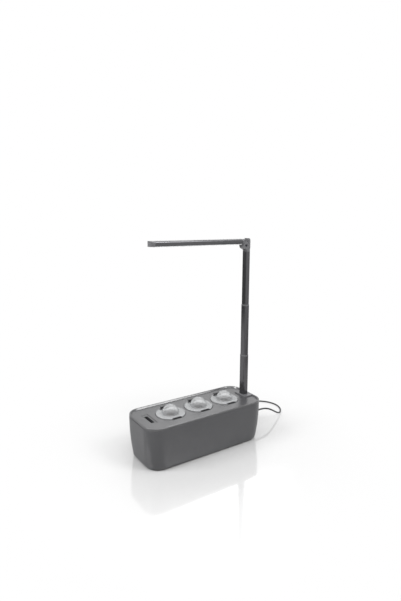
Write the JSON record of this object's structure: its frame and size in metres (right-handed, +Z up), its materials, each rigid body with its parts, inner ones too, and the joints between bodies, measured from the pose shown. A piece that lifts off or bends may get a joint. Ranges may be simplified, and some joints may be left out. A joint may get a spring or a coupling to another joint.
{
  "type": "countertop hydroponic garden",
  "caption": "Long rounded water tank with a tray lid, lift-out plant cups under clear domes, a float gauge and a telescopic hinged grow lamp on a plug-in foot with its lead.",
  "frame": {"origin": "middle of the tank on the table surface", "axes": "+X along the tank towards the lamp foot, +Y towards the back, where the cup tabs are, +Z up"},
  "size_m": [0.4578, 0.1948, 0.467],
  "materials": {
    "tank_plastic": "fine matt moulded",
    "lid_plastic": "fine matt moulded",
    "cup_plastic": "satin moulded",
    "wick_fibre": "bonded fibre",
    "growing_medium": "pressed peat and coir",
    "clear_plastic": "clear moulded",
    "red_plastic": "satin moulded",
    "pad_rubber": "matt",
    "lamp_plastic": "satin moulded",
    "black_plastic": "satin",
    "cord_rubber": "satin",
    "mast_aluminium": "dark grey, satin",
    "bright_metal": "bright",
    "screw_steel": "black zinc plated",
    "board": "solder mask",
    "led_board_white": "white solder mask",
    "led_yellow": "phosphor",
    "diffuser_white": "opal"
  },
  "bodies": {
    "tub": {"tub": "tank_plastic", "foot_pads": "pad_rubber"},
    "lid": {"lid": "lid_plastic", "indicator_sleeve": "red_plastic"},
    "float": {"float_plate": "tank_plastic"},
    "cup_left": {"cup_left": "cup_plastic", "wick_left": "wick_fibre"},
    "medium_left": {"medium_left": "growing_medium"},
    "cover_left": {"cover_left": "cup_plastic"},
    "dome_left": {"dome_left": "clear_plastic"},
    "cup_centre": {"cup_centre": "cup_plastic", "wick_centre": "wick_fibre"},
    "medium_centre": {"medium_centre": "growing_medium"},
    "cover_centre": {"cover_centre": "cup_plastic"},
    "dome_centre": {"dome_centre": "clear_plastic"},
    "cup_right": {"cup_right": "cup_plastic", "wick_right": "wick_fibre"},
    "medium_right": {"medium_right": "growing_medium"},
    "cover_right": {"cover_right": "cup_plastic"},
    "dome_right": {"dome_right": "clear_plastic"},
    "lamp_foot": {"foot_housing": "lamp_plastic", "foot_cover": "lamp_plastic", "foot_screws": "screw_steel", "driver_board": "board", "dc_jack": "black_plastic", "mast_lower": "mast_aluminium", "lower_bush": "black_plastic"},
    "mast_middle": {"mast_middle": "mast_aluminium", "middle_bush": "black_plastic"},
    "mast_top": {"mast_upper": "mast_aluminium", "hinge_yoke": "lamp_plastic", "hinge_pin": "screw_steel", "friction_washers": "bright_metal"},
    "lamp": {"lamp_knuckle": "lamp_plastic", "lamp_housing": "mast_aluminium", "lamp_end_cap": "lamp_plastic", "led_board": "led_board_white", "leds": "led_yellow", "diffuser": "diffuser_white"},
    "plug": {"dc_plug": "black_plastic", "plug_barrel": "bright_metal", "plug_relief": "cord_rubber"},
    "supply": {"cord": "cord_rubber", "cord_coil": "cord_rubber", "cord_tail": "cord_rubber", "adapter_relief": "cord_rubber", "power_adapter": "black_plastic", "adapter_pins": "bright_metal"}
  },
  "joints": [
    {"name": "lid_lift", "type": "slide", "parent": "tub", "child": "lid", "axis": [0, 0, 1], "range_m": [0, 0.132]},
    {"name": "float_slide", "type": "slide", "parent": "lid", "child": "float", "axis": [0, 0, 1], "range_m": [0, 0.1256]},
    {"name": "cup_left_lift", "type": "slide", "parent": "lid", "child": "cup_left", "axis": [0, 0, 1], "range_m": [0, 0.1334]},
    {"name": "medium_left_lift", "type": "slide", "parent": "cup_left", "child": "medium_left", "axis": [0, 0, 1], "range_m": [0, 0.0912]},
    {"name": "cover_left_lift", "type": "slide", "parent": "medium_left", "child": "cover_left", "axis": [0, 0, 1], "range_m": [0, 0.0283]},
    {"name": "dome_left_lift", "type": "slide", "parent": "cover_left", "child": "dome_left", "axis": [0, 0, 1], "range_m": [0, 0.0367]},
    {"name": "cup_centre_lift", "type": "slide", "parent": "lid", "child": "cup_centre", "axis": [0, 0, 1], "range_m": [0, 0.1334]},
    {"name": "medium_centre_lift", "type": "slide", "parent": "cup_centre", "child": "medium_centre", "axis": [0, 0, 1], "range_m": [0, 0.0912]},
    {"name": "cover_centre_lift", "type": "slide", "parent": "medium_centre", "child": "cover_centre", "axis": [0, 0, 1], "range_m": [0, 0.0283]},
    {"name": "dome_centre_lift", "type": "slide", "parent": "cover_centre", "child": "dome_centre", "axis": [0, 0, 1], "range_m": [0, 0.0367]},
    {"name": "cup_right_lift", "type": "slide", "parent": "lid", "child": "cup_right", "axis": [0, 0, 1], "range_m": [0, 0.1334]},
    {"name": "medium_right_lift", "type": "slide", "parent": "cup_right", "child": "medium_right", "axis": [0, 0, 1], "range_m": [0, 0.0912]},
    {"name": "cover_right_lift", "type": "slide", "parent": "medium_right", "child": "cover_right", "axis": [0, 0, 1], "range_m": [0, 0.0283]},
    {"name": "dome_right_lift", "type": "slide", "parent": "cover_right", "child": "dome_right", "axis": [0, 0, 1], "range_m": [0, 0.0367]},
    {"name": "lamp_lift", "type": "slide", "parent": "tub", "child": "lamp_foot", "axis": [0, 0, 1], "range_m": [0, 0.213]},
    {"name": "mast_middle_slide", "type": "slide", "parent": "lamp_foot", "child": "mast_middle", "axis": [0, 0, 1], "range_m": [-0.1, 0]},
    {"name": "mast_top_slide", "type": "slide", "parent": "mast_middle", "child": "mast_top", "axis": [0, 0, 1], "range_m": [-0.1, 0]},
    {"name": "lamp_tilt", "type": "hinge", "parent": "mast_top", "child": "lamp", "pos_m": [0.1285, 0, 0.451], "axis": [0, 1, 0], "range_deg": [-30, 0]},
    {"name": "plug_pull", "type": "slide", "parent": "lamp_foot", "child": "plug", "axis": [1, 0, 0], "range_m": [0, 0.054]},
    {"name": "cord_slack", "type": "slide", "parent": "plug", "child": "supply", "axis": [0, 0, 1], "range_m": [-0.213, 0]}
  ],
  "couplings": [
    {"joint": "cord_slack", "follows": "lamp_lift", "ratio": -1}
  ]
}
